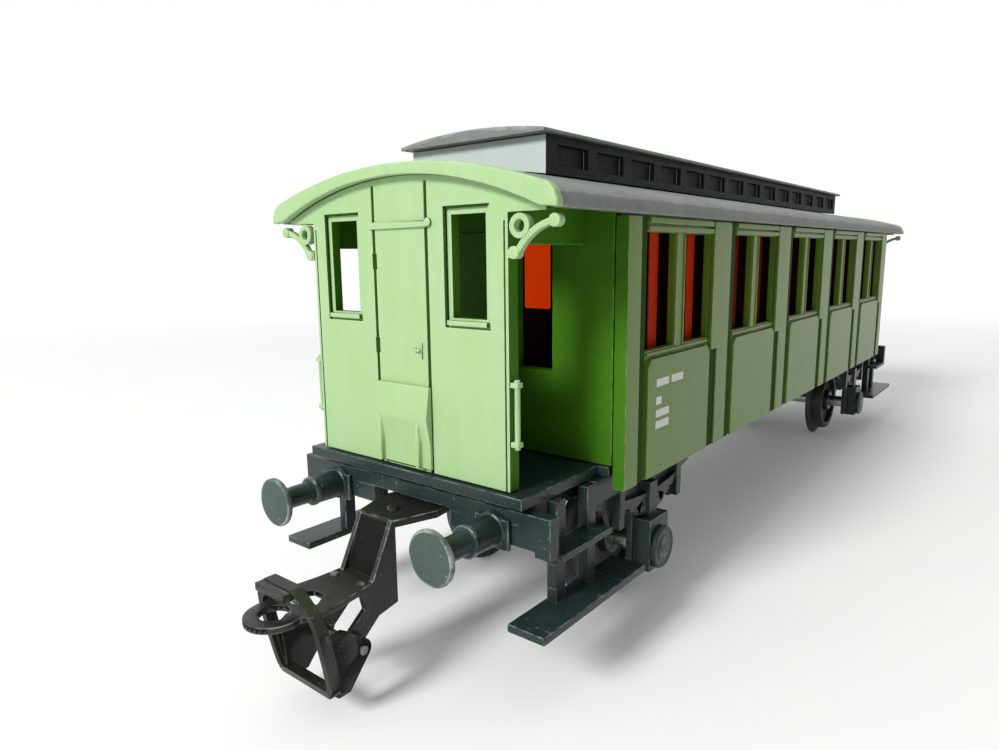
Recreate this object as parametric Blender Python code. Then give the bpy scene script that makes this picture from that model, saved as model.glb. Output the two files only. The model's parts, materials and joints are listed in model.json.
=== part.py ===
"""Model passenger coach, 1:120 scale: a two-axle coach with open porches and a clerestory roof.

Frame: millimetres in the constants, metres in the scene. +Y runs along the coach, the front end is at -Y,
X runs across it, +Z is up. The origin is on the ground plane under the middle of the coach.
"""

from math import cos, pi, radians, sin, sqrt

import bmesh
import bpy
from mathutils import Matrix, Vector

MM = 0.001
GAP = 0.1                     # clearance between neighbouring pieces
PLANE_MERGE = 0.00001         # metres, for welding doubled points

# ---- driving dimensions, in mm ----
RAIL_TO_FLANGE = 0.85         # flange depth below the tread
TREAD_R = 4.2
FLANGE_R = TREAD_R + RAIL_TO_FLANGE
AXLE_Z = FLANGE_R
AXLE_Y = 31.55                # half the wheelbase
AXLE_R = 0.75
AXLE_HALF_LENGTH = 10.05
WHEEL_BACK = 5.1              # half the back-to-back distance
WHEEL_FACE = 7.1

DECK_TOP = 12.9               # top of the chassis floor
DECK_THICK = 0.7
DECK_HALF_WIDTH = 9.8
FLOOR_HALF_WIDTH = 10.6
DECK_FRONT = 46.95            # half the length of the chassis floor

END_FACE = 46.55              # half the length over the end walls
END_HALF_WIDTH = 8.675
WALL = 0.9
SALOON_FACE = 38.53           # half the length of the saloon
BODY_HALF_WIDTH = 11.78
SKIRT_Z = 11.46               # lower edge of the saloon sides
EAVES_Z = 29.04               # top of the walls

ROOF_HALF_WIDTH = 12.35
ROOF_APEX = 32.25
ROOF_R = 37.2
CEILING_APEX = 31.72
CEILING_R = 28.05
ROOF_EDGE_Z = 29.12

CLERESTORY_FRONT = -39.15
CLERESTORY_REAR = 31.85
CLERESTORY_HALF_WIDTH = 6.07
CLERESTORY_TOP = 34.33
CLERESTORY_ROOF_APEX = 35.12
CLERESTORY_WINDOWS = 14

BAYS = 5
BAY_PITCH = 15.2
SILL_Z = 20.26
HEAD_Z = 28.08
PANE_WIDTH = 4.55
MULLION = 1.5
RELIEF = 0.35                 # height of the raised panels over the wall sheet

BEAM_FACE = 46.35             # outer face of the buffer beam
BEAM_HALF_WIDTH = 11.4
BEAM_THICK = 0.9
BEAM_TOP = 11.85
BEAM_BOTTOM = 9.65

BUFFER_X = 7.3
BUFFER_Z = 10.45
BUFFER_HEAD_Y = 51.98
BUFFER_HEAD_R = 1.66

GUARD_X = (9.2, 10.25)
BOX_FACE_X = 10.95
STEP_X = (9.45, 12.1)

COUPLER_PIVOT_Y = 42.3
COUPLER_PLATE_Z = 10.5        # top of the tail plate
COUPLER_EYE_Y = 57.05
HOOP_PIVOT = (52.75, 3.6)     # distance from the middle, height
SIDE_PLATE_X = (1.25, 1.6)

FRONT = -1
REAR = 1


def material(name, colour, roughness, metallic=0.0):
    made = bpy.data.materials.new(name)
    made.use_nodes = True
    shader = made.node_tree.nodes["Principled BSDF"]
    shader.inputs["Base Color"].default_value = (*colour, 1.0)
    shader.inputs["Roughness"].default_value = roughness
    shader.inputs["Metallic"].default_value = metallic
    made.diffuse_color = (*colour, 1.0)
    return made


# ---- shapes: each adds one closed form to a bmesh, in mm ----
def block(bm, x, y, z):
    size = Vector((x[1] - x[0], y[1] - y[0], z[1] - z[0])) * MM
    middle = Vector((x[0] + x[1], y[0] + y[1], z[0] + z[1])) * MM / 2
    place = Matrix.Translation(middle) @ Matrix.Diagonal((*[abs(side) for side in size], 1))
    bmesh.ops.create_cube(bm, size=1, matrix=place)


def prism(bm, outline, axis, span):
    """A flat outline pushed along an axis. The outline is in the two other axes, in X, Y, Z order."""
    start, end = span
    corners = []
    for a, b in outline:
        point = {"X": (start, a, b), "Y": (a, start, b), "Z": (a, b, start)}[axis]
        corners.append(bm.verts.new(Vector(point) * MM))
    face = bm.faces.new(corners)
    pushed = bmesh.ops.extrude_face_region(bm, geom=[face])["geom"]
    travel = Vector([(end - start) * MM if name == axis else 0 for name in "XYZ"])
    moved = [item for item in pushed if isinstance(item, bmesh.types.BMVert)]
    bmesh.ops.translate(bm, verts=moved, vec=travel)


def turned(bm, profile, axis, centre, segments=24):
    """A profile of (distance along the axis, radius) turned about an axis through the centre point."""
    direction = {"X": Vector((1, 0, 0)), "Y": Vector((0, 1, 0)), "Z": Vector((0, 0, 1))}[axis]
    outward = Vector((0, 1, 0)) if axis == "X" else Vector((1, 0, 0))
    points = [bm.verts.new((Vector(centre) + direction * a + outward * r) * MM) for a, r in profile]
    edges = [bm.edges.new(pair) for pair in zip(points, points[1:])]
    bmesh.ops.spin(bm, geom=points + edges, cent=Vector(centre) * MM, axis=direction, angle=2 * pi,
                   steps=segments, use_merge=True)
    bmesh.ops.remove_doubles(bm, verts=bm.verts, dist=PLANE_MERGE)


def shape(*parts):
    """A closed mesh made by calls such as (block, x, y, z)."""
    bm = bmesh.new()
    for maker, *values in parts:
        maker(bm, *values)
    bmesh.ops.recalc_face_normals(bm, faces=bm.faces)
    return bm


def as_object(bm, name):
    mesh = bpy.data.meshes.new(name)
    bm.to_mesh(mesh)
    bm.free()
    made = bpy.data.objects.new(name, mesh)
    bpy.context.collection.objects.link(made)
    return made


def piece(name, body, finish, hollow=(), add=(), cut=(), smooth_angle=None, end=FRONT, origin=(0, 0, 0)):
    """A named piece: its body is hollowed, then shapes are added to it, then others are cut from it all.
    A rear piece is turned half round."""
    made = as_object(body, name)
    steps = [(bm, "DIFFERENCE") for bm in hollow]
    steps += [(bm, "UNION") for bm in add]
    steps += [(bm, "DIFFERENCE") for bm in cut]
    for count, (bm, operation) in enumerate(steps):
        helper = as_object(bm, f"{name}_helper_{count}")
        helper.hide_render = True
        helper.display_type = "WIRE"
        helper.parent = made
        modifier = made.modifiers.new(operation.title(), "BOOLEAN")
        modifier.operation = operation
        modifier.solver = "EXACT"
        modifier.use_self = True
        modifier.object = helper
    made.data.materials.append(finish)
    if smooth_angle:
        made.data.shade_smooth()
        made.data.set_sharp_from_angle(angle=radians(smooth_angle))
    shift = Vector(origin) * MM
    made.data.transform(Matrix.Translation(-shift))
    for helper in made.children:
        helper.data.transform(Matrix.Translation(-shift))
    turn = Matrix.Rotation(pi if end == REAR else 0, 4, "Z")
    made.matrix_world = turn @ Matrix.Translation(shift)
    return made


# ---- outlines and curves ----
def arch_drop(x, radius):
    return radius - sqrt(radius * radius - x * x)


def arch(half_width, apex, radius, steps):
    """Points of an arch from +half_width to -half_width."""
    points = []
    for step in range(steps + 1):
        x = half_width * (1 - 2 * step / steps)
        points.append((x, apex - arch_drop(x, radius)))
    return points


def arc(centre, radius, start, end, steps):
    angles = [radians(start + (end - start) * step / steps) for step in range(steps + 1)]
    return [(centre[0] + radius * cos(a), centre[1] + radius * sin(a)) for a in angles]


def mirrored(points):
    """A half outline at +X, with its mirror image at -X."""
    return points + [(-x, z) for x, z in reversed(points)]


def both(x, side):
    """A pair of distances from the middle, as an ordered X range on one side."""
    return (x[0], x[1]) if side > 0 else (-x[1], -x[0])


def name_of(base, end, side=None):
    words = [base, "front" if end == FRONT else "rear"]
    if side is not None:
        words.append("right" if side * (1 if end == FRONT else -1) > 0 else "left")
    return "_".join(words)


# ---- body ----
def side_wall(side, finish):
    sheet_x = both((BODY_HALF_WIDTH - WALL, BODY_HALF_WIDTH - RELIEF), side)
    raised_x = both((BODY_HALF_WIDTH - RELIEF - 0.2, BODY_HALF_WIDTH), side)
    strip_x = both((BODY_HALF_WIDTH - RELIEF - 0.2, BODY_HALF_WIDTH - 0.05), side)
    through_x = both((BODY_HALF_WIDTH - 2 * WALL, BODY_HALF_WIDTH + 1), side)
    panel = BAY_PITCH / 2 - 2.5
    corner = 0.5
    sheet = shape((block, sheet_x, (-SALOON_FACE, SALOON_FACE), (SKIRT_Z, EAVES_Z)))
    raised = []
    panes = []
    for bay in range(BAYS):
        middle = (bay - (BAYS - 1) / 2) * BAY_PITCH
        outline = [(middle - panel, SKIRT_Z), (middle + panel, SKIRT_Z), (middle + panel, SILL_Z - 1.1),
                   (middle + panel - corner, SILL_Z - 0.55), (middle - panel + corner, SILL_Z - 0.55),
                   (middle - panel, SILL_Z - 1.1)]
        raised.append((prism, outline, "X", raised_x))
        raised.append((block, raised_x, (middle - panel, middle + panel), (HEAD_Z + 0.55, EAVES_Z)))
        strip_y = (middle - panel - 0.15, middle + panel + 0.3)
        raised.append((block, strip_x, strip_y, (HEAD_Z + 0.05, HEAD_Z + 0.4)))
        for pane in (-1, 1):
            start = middle + (MULLION / 2 if pane > 0 else -MULLION / 2 - PANE_WIDTH)
            panes.append((block, through_x, (start, start + PANE_WIDTH), (SILL_Z, HEAD_Z)))
    pillars = []
    for gap in range(BAYS - 1):
        middle = (gap + 1 - BAYS / 2) * BAY_PITCH
        pillars.append((block, raised_x, (middle - 1.1, middle + 1.1), (SKIRT_Z, EAVES_Z)))
    for end in (FRONT, REAR):
        y = sorted((end * SALOON_FACE, end * (SALOON_FACE - 1.75)))
        pillars.append((block, raised_x, y, (SKIRT_Z, EAVES_Z)))
    name = "side_wall_right" if side > 0 else "side_wall_left"
    piece(name, sheet, finish, add=(shape(*raised, *pillars),), cut=(shape(*panes),))


def bulkhead(end, finish):
    half = BODY_HALF_WIDTH - WALL - GAP
    top = arch(half, CEILING_APEX - GAP, CEILING_R, 16)
    outline = [(-half, DECK_TOP + GAP), (half, DECK_TOP + GAP)] + top
    y = (-SALOON_FACE, -SALOON_FACE + WALL)
    windows = [(block, both((3.0, 6.1), side), (y[0] - 1, y[1] + 1), (18.9, 28.0)) for side in (-1, 1)]
    rails = [(block, (-2.35, 2.35), (y[0] - 0.12, y[0] + 0.2), (DECK_TOP + 0.4, 28.3))]
    piece(name_of("bulkhead", end), shape((prism, outline, "Y", y)), finish, add=(shape(*rails),),
          cut=(shape(*windows),), end=end)


def end_wall(end, finish):
    """The narrow porch wall, with the gable that fills the roof's arch above it and the moulded door."""
    base = DECK_TOP + GAP
    gable = 11.25
    outline = [(-END_HALF_WIDTH, base), (END_HALF_WIDTH, base), (END_HALF_WIDTH, EAVES_Z), (gable, EAVES_Z)]
    outline += arch(gable, CEILING_APEX - GAP, CEILING_R, 20)
    outline += [(-gable, EAVES_Z), (-END_HALF_WIDTH, EAVES_Z)]
    face = -END_FACE
    pockets = []
    openings = []
    for side in (-1, 1):
        pockets.append((block, both((3.8, 7.38), side), (face - 1, face + 0.22), (22.45, 29.6)))
        pockets.append((block, both((8.36, 8.48), side), (face - 1, face + 0.15), (base - 1, 28.6)))
        pockets.append((block, both((2.24, 2.5), side), (face - 1, face + 0.45), (base - 1, 31.2)))
        openings.append((block, both((4.27, 6.93), side), (face - 1, face + 2), (23.02, 29.1)))
    hinges = [(block, (-2.58, -2.16), (face - 1, face + 0.5), (z - 0.5, z + 0.5)) for z in (26.4, 20.95)]
    trim = [
        (block, (-2.7, 2.6), (face - 0.16, face + 0.6), (28.43, 28.87)),
        (turned, [(-0.2, 0), (-0.2, 0.26), (0.55, 0.26), (0.55, 0)], "Y", (2.66, face, 28.73), 14),
        (block, (1.72, 1.84), (face - 0.12, face + 0.2), (20.35, 21.4)),
        (block, (1.15, 1.78), (face - 0.25, face + 0.15), (20.82, 20.98)),
    ]
    trim += [(turned, [(0, 0), (0, 0.15), (0.9, 0.15), (0.9, 0)], "Z", (-2.37, face + 0.2, z - 0.45), 10)
             for z in (26.4, 20.95)]
    trim += [(block, both((4.05, 7.15), side), (face - 0.1, face + 0.3), (22.6, 22.9)) for side in (-1, 1)]
    backing = [(block, (-2.44, -2.3), (face + 0.25, face + 0.7), (z - 0.4, z + 0.4)) for z in (26.4, 20.95)]
    piece(name_of("end_wall", end), shape((prism, outline, "Y", (face, face + WALL))), finish,
          hollow=(shape(*pockets), shape(*hinges)), add=(shape(*trim), shape(*backing)),
          cut=(shape(*openings),), end=end)


def gangway_plate(end, finish):
    """The folded crossing plate below the end door: it leans out to a crease and back."""
    face = -END_FACE
    profile = [(face - 0.05, 18.6), (face - 0.05, 13.25), (face - 0.27, 13.25), (face - 0.3, 14.9),
               (face - 0.62, 16.6), (face - 0.3, 18.6)]
    ribs = [(block, (x, x + 0.3), (face - 0.62, face - 0.1), (13.3, 16.2)) for x in (-2.05, 1.45)]
    piece(name_of("gangway_plate", end), shape((prism, profile, "X", (-2.25, 2.5))), finish,
          add=(shape(*ribs),), end=end)


def roof_outline(half_width, apex, edge):
    """The roof's outer line from the eave at +X over the top to the eave at -X."""
    eave = half_width - 1.45
    shoulder = apex - arch_drop(eave, ROOF_R)
    right = [(half_width, edge), (half_width, shoulder - 1.15), (half_width - 0.22, shoulder - 0.62),
             (half_width - 0.68, shoulder - 0.22)]
    left = [(-x, z) for x, z in reversed(right)]
    return right + arch(eave, apex, ROOF_R, 18) + left


def roof(finish):
    outer = roof_outline(ROOF_HALF_WIDTH, ROOF_APEX, ROOF_EDGE_Z)
    inner_half = sqrt(CEILING_R ** 2 - (CEILING_R - CEILING_APEX + ROOF_EDGE_Z) ** 2)
    inner = arch(inner_half, CEILING_APEX, CEILING_R, 20)
    outline = outer + list(reversed(inner))
    piece("roof", shape((prism, outline, "Y", (-END_FACE, END_FACE))), finish, smooth_angle=25)


def roof_rim(end, finish):
    """The arched end board, which closes the roof's edge in front of the gable."""
    outer = roof_outline(ROOF_HALF_WIDTH + 0.08, ROOF_APEX + 0.08, ROOF_EDGE_Z)
    inner = arch(11.3, CEILING_APEX - GAP, CEILING_R, 20)
    outline = outer + list(reversed(inner))
    y = (-END_FACE - 0.72, -END_FACE - GAP)
    piece(name_of("roof_rim", end), shape((prism, outline, "Y", y)), finish, smooth_angle=25, end=end)


def clerestory(finish, roof_finish):
    y = (CLERESTORY_FRONT, CLERESTORY_REAR)
    half = CLERESTORY_HALF_WIDTH
    bottom = arch(half, ROOF_APEX + GAP, ROOF_R, 8)
    outline = [(-half, CLERESTORY_TOP), (half, CLERESTORY_TOP)] + bottom
    pitch = (y[1] - y[0] - 1.2) / CLERESTORY_WINDOWS
    recesses = []
    for index in range(CLERESTORY_WINDOWS):
        start = y[0] + 1.3 + index * pitch
        for side in (-1, 1):
            recesses.append((block, both((half - 0.4, half + 1), side), (start, start + 3.75), (32.45, 33.8)))
    hollow = shape((block, (-half + 1.1, half - 1.1), (y[0] + 0.9, y[1] - 0.9), (ROOF_APEX - 1, 33.7)))
    piece("clerestory", shape((prism, outline, "Y", y)), finish, cut=(shape(*recesses), hollow))
    edge = half + 0.43
    base = CLERESTORY_TOP + GAP / 2
    top = [(edge - 0.05, base + 0.24)] + arch(edge - 0.3, CLERESTORY_ROOF_APEX, 42.0, 14)
    outline = [(-edge, base), (edge, base)] + top + [(-edge + 0.05, base + 0.24)]
    piece("clerestory_roof", shape((prism, outline, "Y", (y[0] - 0.85, y[1] + 0.85))), roof_finish,
          smooth_angle=25)


def roof_bracket(end, side, finish):
    """A ring and a curved arm under the overhang of the gable, in one casting."""
    ring = (side * 9.55, 28.28)
    y = (-END_FACE - 0.12, -END_FACE + 0.38)
    hoop = shape((turned, [(0, 0.36), (0, 0.68), (0.5, 0.68), (0.5, 0.36), (0, 0.36)], "Y",
                  (ring[0], y[0], ring[1]), 18))
    outer = arc((side * 12.3, 25.1), 3.62, 96 if side > 0 else 84, 152 if side > 0 else 28, 8)
    inner = arc((side * 12.3, 25.1), 3.27, 152 if side > 0 else 28, 96 if side > 0 else 84, 8)
    arm = shape((prism, outer + inner, "Y", (y[0] + 0.04, y[1] - 0.04)))
    ball = [(0, 0), (0, 0.36), (0.54, 0.36), (0.54, 0)]
    balls = [(turned, ball, "Y", (side * x, y[0] - 0.02, z), 14) for x, z in ((9.15, 26.85), (11.85, 28.5))]
    foot = (block, both((END_HALF_WIDTH + 0.05, 9.2), side), (y[0] + 0.06, y[1] - 0.06), (26.55, 27.05))
    piece(name_of("roof_bracket", end, side), hoop, finish, add=(arm, shape(*balls), shape(foot)), end=end)


def handrail(end, side, finish):
    """An upright grab rail with two feet, on the edge of the end wall."""
    x = side * (END_HALF_WIDTH + 0.38)
    y = -END_FACE + 0.28
    bar = shape((turned, [(0, 0), (0, 0.17), (4.1, 0.17), (4.1, 0)], "Z", (x, y, 15.6), 10))
    foot_x = both((END_HALF_WIDTH + 0.05, END_HALF_WIDTH + 0.6), side)
    feet = [(block, foot_x, (y - 0.24, y + 0.24), (z, z + 0.3)) for z in (15.75, 19.25)]
    piece(name_of("handrail", end, side), bar, finish, add=(shape(*feet),), smooth_angle=40, end=end)


# ---- chassis ----
def chassis_floor(finish):
    z = (DECK_TOP - DECK_THICK, DECK_TOP)
    main = shape((block, (-FLOOR_HALF_WIDTH, FLOOR_HALF_WIDTH), (-SALOON_FACE + 0.05, SALOON_FACE - 0.05), z))
    deck = shape((block, (-DECK_HALF_WIDTH, DECK_HALF_WIDTH), (-DECK_FRONT, DECK_FRONT), z))
    ribs = [(block, both((8.2, 8.9), side), (-BEAM_FACE + 1.4, BEAM_FACE - 1.4), (z[0] - 1.3, z[0] + 0.2))
            for side in (-1, 1)]
    holes = [(turned, [(-2, 0), (-2, 0.95), (2, 0.95), (2, 0)], "Z", (0, end * COUPLER_PIVOT_Y, z[0]), 20)
             for end in (FRONT, REAR)]
    piece("chassis_floor", main, finish, add=(deck, shape(*ribs)), cut=(shape(*holes),))


def buffer_beam(end, finish):
    y = (-BEAM_FACE, -BEAM_FACE + BEAM_THICK)
    lugs = [(block, both((10.25, BEAM_HALF_WIDTH), side), y, (BEAM_BOTTOM - 0.35, BEAM_BOTTOM + 0.3))
            for side in (-1, 1)]
    notch = shape((block, (-3.6, 3.6), (y[0] - 1, y[1] + 1), (BEAM_BOTTOM - 1, 10.85)))
    beam = shape((block, (-BEAM_HALF_WIDTH, BEAM_HALF_WIDTH), y, (BEAM_BOTTOM, BEAM_TOP)))
    piece(name_of("buffer_beam", end), beam, finish, add=(shape(*lugs),), cut=(notch,), end=end)


def buffer(end, side, finish):
    """A base plate, a housing, a plunger and a flat round head, in one moulding."""
    base_y = -BEAM_FACE - GAP / 2
    reach = BUFFER_HEAD_Y + base_y
    profile = [(0, 0), (0, 0.98), (2.7, 0.95), (2.75, 0.82), (3.1, 0.76), (reach - 0.75, 0.76),
               (reach - 0.5, 1.05), (reach - 0.36, BUFFER_HEAD_R - 0.05), (reach - 0.3, BUFFER_HEAD_R),
               (reach - 0.06, BUFFER_HEAD_R), (reach, BUFFER_HEAD_R - 0.08), (reach, 0)]
    profile = [(-distance, radius) for distance, radius in profile]
    stem = shape((turned, profile, "Y", (side * BUFFER_X, base_y, BUFFER_Z), 28))
    plate_x = both((BUFFER_X - 1.3, BUFFER_X + 1.3), side)
    plate = shape((block, plate_x, (base_y - 0.28, base_y), (BUFFER_Z - 1.12, BUFFER_Z + 0.8)))
    piece(name_of("buffer", end, side), plate, finish, add=(stem,), smooth_angle=35, end=end)


def axle_guard(end, side, finish):
    """The sole band, the axle guard and the leaf spring with its hangers, with a bearing hole for the axle."""
    y = -AXLE_Y
    top = DECK_TOP - DECK_THICK - GAP
    half = [(1.9, 3.6), (1.9, 8.2), (3.9, 8.2), (4.2, 7.6), (4.9, 7.6), (5.6, 9.3), (7.6, 9.8), (8.3, 10.3),
            (8.3, top)]
    plate = [(y + a, b) for a, b in half] + [(y - a, b) for a, b in reversed(half)]
    guard = shape((prism, plate, "X", both((GUARD_X[0], GUARD_X[0] + 0.5), side)))
    sole = shape((block, both((GUARD_X[0] + 0.2, GUARD_X[1]), side), (y - 8.0, y + 8.0), (10.5, top)))
    leaves = []
    for index, reach in enumerate((4.7, 3.9, 3.1, 2.3)):
        sag = [0.45 * (1 - (step / 4 - 1) ** 2) for step in range(9)]
        line = [(y - reach + reach * step / 4, 9.75 - 0.42 * index - sag[step]) for step in range(9)]
        leaf = line + [(a, b - 0.4) for a, b in reversed(line)]
        leaves.append(shape((prism, leaf, "X", both((GUARD_X[0] + 0.3, GUARD_X[1] - 0.05), side))))
    hanger_x = both((GUARD_X[0] + 0.3, GUARD_X[1] + 0.1), side)
    hangers = [(block, hanger_x, (y + a - 0.35, y + a + 0.35), (7.75, 10.8)) for a in (-4.55, 4.55)]
    box = shape((block, both((GUARD_X[0] + 0.2, BOX_FACE_X), side), (y - 1.45, y + 1.45), (AXLE_Z - 1.5, 7.5)))
    buckle = shape((block, both((GUARD_X[0] + 0.25, GUARD_X[1] + 0.2), side), (y - 0.6, y + 0.6), (7.2, 10.1)))
    bearing = shape((turned, [(-0.5, 0), (-0.5, 0.95), (1.0, 0.95), (1.0, 0)], "X",
                     (side * (GUARD_X[0] + 0.1) - (0.5 if side < 0 else 0), y, AXLE_Z), 16))
    piece(name_of("axle_guard", end, side), guard, finish,
          add=(sole, *leaves, shape(*hangers), box, buckle), cut=(bearing,), end=end)


def axlebox_cover(end, side, finish):
    profile = [(0, 0), (0, 1.5), (0.22, 1.62), (0.4, 1.5), (0.5, 0.75), (0.5, 0)]
    profile = [(side * distance, radius) for distance, radius in profile]
    centre = (side * (BOX_FACE_X + 0.04), -AXLE_Y, AXLE_Z + 0.1)
    piece(name_of("axlebox_cover", end, side), shape((turned, profile, "X", centre, 22)), finish,
          smooth_angle=35, end=end)


def step_unit(end, side, finish):
    """Lower and upper footboards hung on two brackets under the porch."""
    edge = -END_FACE
    lower = shape((block, both(STEP_X, side), (edge - 1.4, edge + 10.6), (5.1, 5.6)))
    upper = shape((block, both((9.9, 11.6), side), (edge + 1.3, edge + 6.9), (9.0, 9.4)))
    hangers = []
    for start in (2.3, 5.8):
        hangers.append((block, both((9.65, 10.4), side), (edge + start, edge + start + 1.0), (5.3, 12.1)))
    piece(name_of("step_unit", end, side), lower, finish, add=(shape(*hangers), upper), end=end)


# ---- running gear ----
def wheel(end, side, finish):
    back = WHEEL_BACK
    profile = [(back, AXLE_R + 0.05), (back, FLANGE_R - 0.25), (back + 0.25, FLANGE_R),
               (back + 0.5, FLANGE_R - 0.2), (back + 0.75, TREAD_R),
               (WHEEL_FACE - 0.15, TREAD_R - 0.12), (WHEEL_FACE, TREAD_R - 0.25),
               (WHEEL_FACE, 3.35), (WHEEL_FACE - 0.7, 3.2), (WHEEL_FACE - 0.7, 1.5), (WHEEL_FACE + 0.1, 1.35),
               (WHEEL_FACE + 0.1, AXLE_R + 0.05), (back, AXLE_R + 0.05)]
    profile = [(side * distance, radius) for distance, radius in profile]
    centre = (0, -AXLE_Y, AXLE_Z)
    piece(name_of("wheel", end, side), shape((turned, profile, "X", centre, 32)), finish,
          smooth_angle=30, end=end, origin=centre)


def axle(end, finish):
    tip = AXLE_HALF_LENGTH
    profile = [(-tip, 0), (-tip + 0.9, 0.62), (-tip + 1.0, AXLE_R),
               (tip - 1.0, AXLE_R), (tip - 0.9, 0.62), (tip, 0)]
    centre = (0, -AXLE_Y, AXLE_Z)
    piece(name_of("axle", end), shape((turned, profile, "X", centre, 16)), finish, smooth_angle=30, end=end,
          origin=centre)


# ---- couplers ----
def pin_bores(radius):
    """A cutter for the cross holes that the hoop's pin goes through."""
    profile = [(-4, 0), (-4, radius), (4, radius), (4, 0)]
    return shape((turned, profile, "X", (0, -HOOP_PIVOT[0], HOOP_PIVOT[1]), 14))


def coupler_arm(end, finish):
    """Tail plate with the pivot eye, drop channel with two cheeks, and the coupling eye on two arms."""
    pivot = -COUPLER_PIVOT_Y
    neck = -49.45
    tail = arc((0, pivot), 1.9, 180, 0, 10)
    tail += [(2.6, -BEAM_FACE - 0.1), (1.6, neck), (-1.6, neck), (-2.6, -BEAM_FACE - 0.1)]
    top = shape((prism, tail, "Z", (COUPLER_PLATE_Z - 0.5, COUPLER_PLATE_Z)))
    cheek = [(-49.2, 10.45), (-49.2, 5.0), (-50.8, 4.72), (-52.05, 3.7)]
    cheek += arc((-HOOP_PIVOT[0], HOOP_PIVOT[1]), 0.62, -15, -195, 8)
    cheek += [(-53.1, 4.65), (-51.9, 5.6), (-52.2, 6.8), (-51.2, 7.1), (-49.5, 10.45)]
    cheeks = [(prism, cheek, "X", both(SIDE_PLATE_X, side)) for side in (-1, 1)]
    web = [(-49.2, 10.3), (-49.55, 10.3), (-50.75, 7.2), (-50.75, 6.7), (-50.3, 6.7), (-49.2, 9.3)]
    eye = -COUPLER_EYE_Y
    right = [(1.5, -50.4), (1.85, -53.0), (2.12, -54.6), (2.1, -55.6)]
    ring = arc((0, eye), 1.72, 20, -200, 20)
    flat = right + ring + [(-x, y) for x, y in reversed(right)]
    eye_plate = shape((prism, flat, "Z", (6.7, 7.08)))
    holes = shape(
        (turned, [(-2, 0), (-2, 0.98), (2, 0.98), (2, 0)], "Z", (0, pivot, COUPLER_PLATE_Z), 20),
        (turned, [(-2, 0), (-2, 0.88), (2, 0.88), (2, 0)], "Z", (0, eye, 6.9), 20),
        (prism, [(-0.45, -54.0), (0.45, -54.0), (1.05, -54.9), (0.85, -55.75), (-0.85, -55.75), (-1.05, -54.9)],
         "Z", (5, 9)),
    )
    piece(name_of("coupler_arm", end), top, finish,
          add=(shape(*cheeks), shape((prism, web, "X", (-1.45, 1.45))), eye_plate),
          cut=(holes, pin_bores(0.36)), end=end, origin=(0, pivot, COUPLER_PLATE_Z))


def coupler_hoop(end, finish):
    """A leaning bell-shaped loop with a lip at its top, and a tail plate on each side back to its pivot."""
    outer = mirrored([(1.3, 8.7), (1.9, 8.1), (2.6, 7.3), (2.85, 6.2), (2.85, 4.0), (2.7, 2.3), (2.4, 1.75)])
    inner = mirrored([(1.1, 7.9), (1.6, 7.5), (2.2, 7.0), (2.38, 6.0), (2.38, 4.0), (2.3, 2.6), (2.1, 2.2)])
    face = -55.4
    loop = shape((prism, outer, "Y", (face, face + 0.7)))
    window = shape((prism, inner, "Y", (face - 2, face + 3)))
    for bm in (loop, window):
        for vert in bm.verts:
            vert.co.y -= 0.2 * (vert.co.z - 2 * MM)
    lip = shape((block, (-1.35, 1.35), (-57.3, -56.0), (8.15, 8.6)))
    pivot = (-HOOP_PIVOT[0], HOOP_PIVOT[1])
    tail = arc(pivot, 0.66, -40, 60, 6) + [(-53.5, 5.0), (-54.05, 5.35), (-54.9, 5.35), (-55.5, 5.0)]
    tail += [(-55.2, 1.95), (-54.65, 1.4), (-53.8, 1.4)]
    tails = [(prism, tail, "X", both((1.85, 2.25), side)) for side in (-1, 1)]
    webs = [(prism, [(-55.75, 4.9), (-54.9, 4.9), (-54.9, 2.0), (-55.2, 2.0)], "X", both((2.0, 2.6), side))
            for side in (-1, 1)]
    piece(name_of("coupler_hoop", end), loop, finish, hollow=(window,), add=(shape(*webs), shape(*tails), lip),
          cut=(pin_bores(0.36),), end=end, origin=(0, *pivot))


def coupler_pin(end, finish):
    """The rivet and spacer that the coupler swings on, held in the chassis floor."""
    low = COUPLER_PLATE_Z - 0.5 - GAP
    floor = DECK_TOP - DECK_THICK - GAP
    spacer = COUPLER_PLATE_Z + GAP
    profile = [(low - 0.45, 0), (low - 0.45, 1.2), (low - 0.25, 1.45), (low, 1.45), (low, 0.88), (spacer, 0.88),
               (spacer, 1.6), (floor, 1.6), (floor, 0.88), (DECK_TOP - 0.05, 0.88), (DECK_TOP - 0.05, 0)]
    piece(name_of("coupler_pin", end), shape((turned, profile, "Z", (0, -COUPLER_PIVOT_Y, 0), 20)), finish,
          smooth_angle=30, end=end)


def hoop_pin(end, finish):
    profile = [(-2.4, 0), (-2.4, 0.3), (2.4, 0.3), (2.4, 0)]
    centre = (0, -HOOP_PIVOT[0], HOOP_PIVOT[1])
    piece(name_of("hoop_pin", end), shape((turned, profile, "X", centre, 12)), finish, smooth_angle=30, end=end)


# ---- inside ----
def ballast_plate(finish):
    z = (DECK_TOP + GAP, DECK_TOP + 0.9)
    piece("ballast_plate", shape((block, (-8.6, 8.6), (-35.5, 35.5), z)), finish)


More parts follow.
